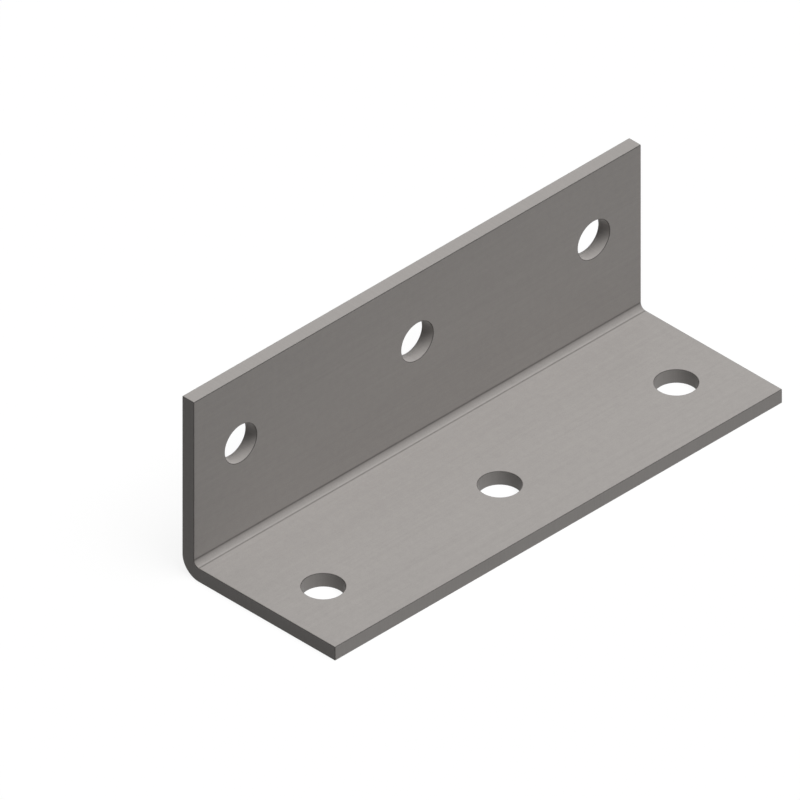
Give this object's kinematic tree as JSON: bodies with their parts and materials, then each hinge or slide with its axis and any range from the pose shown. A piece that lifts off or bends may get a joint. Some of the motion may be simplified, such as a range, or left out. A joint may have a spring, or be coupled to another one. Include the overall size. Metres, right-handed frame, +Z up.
{
  "type": "angle cleat",
  "caption": "Steel plate folded once to a right angle, with a row of round bolt holes along each leg, for joining two members at a corner.",
  "frame": {"origin": "centre of the flat leg's middle bolt hole, on the leg's underside, where the cleat is bolted down", "axes": "+Z up, out of the flat leg's top face; +X along the fold; +Y towards the heel and out of the upright leg's outer face"},
  "size_m": [0.19, 0.065, 0.065],
  "materials": {
    "steel_plate": "steel plate with a dull, warm grey phosphate coat, even on all faces, with lightly deburred edges where the dark steel shows"
  },
  "bodies": {
    "root": {"angle_cleat": "steel_plate"}
  },
  "joints": []
}
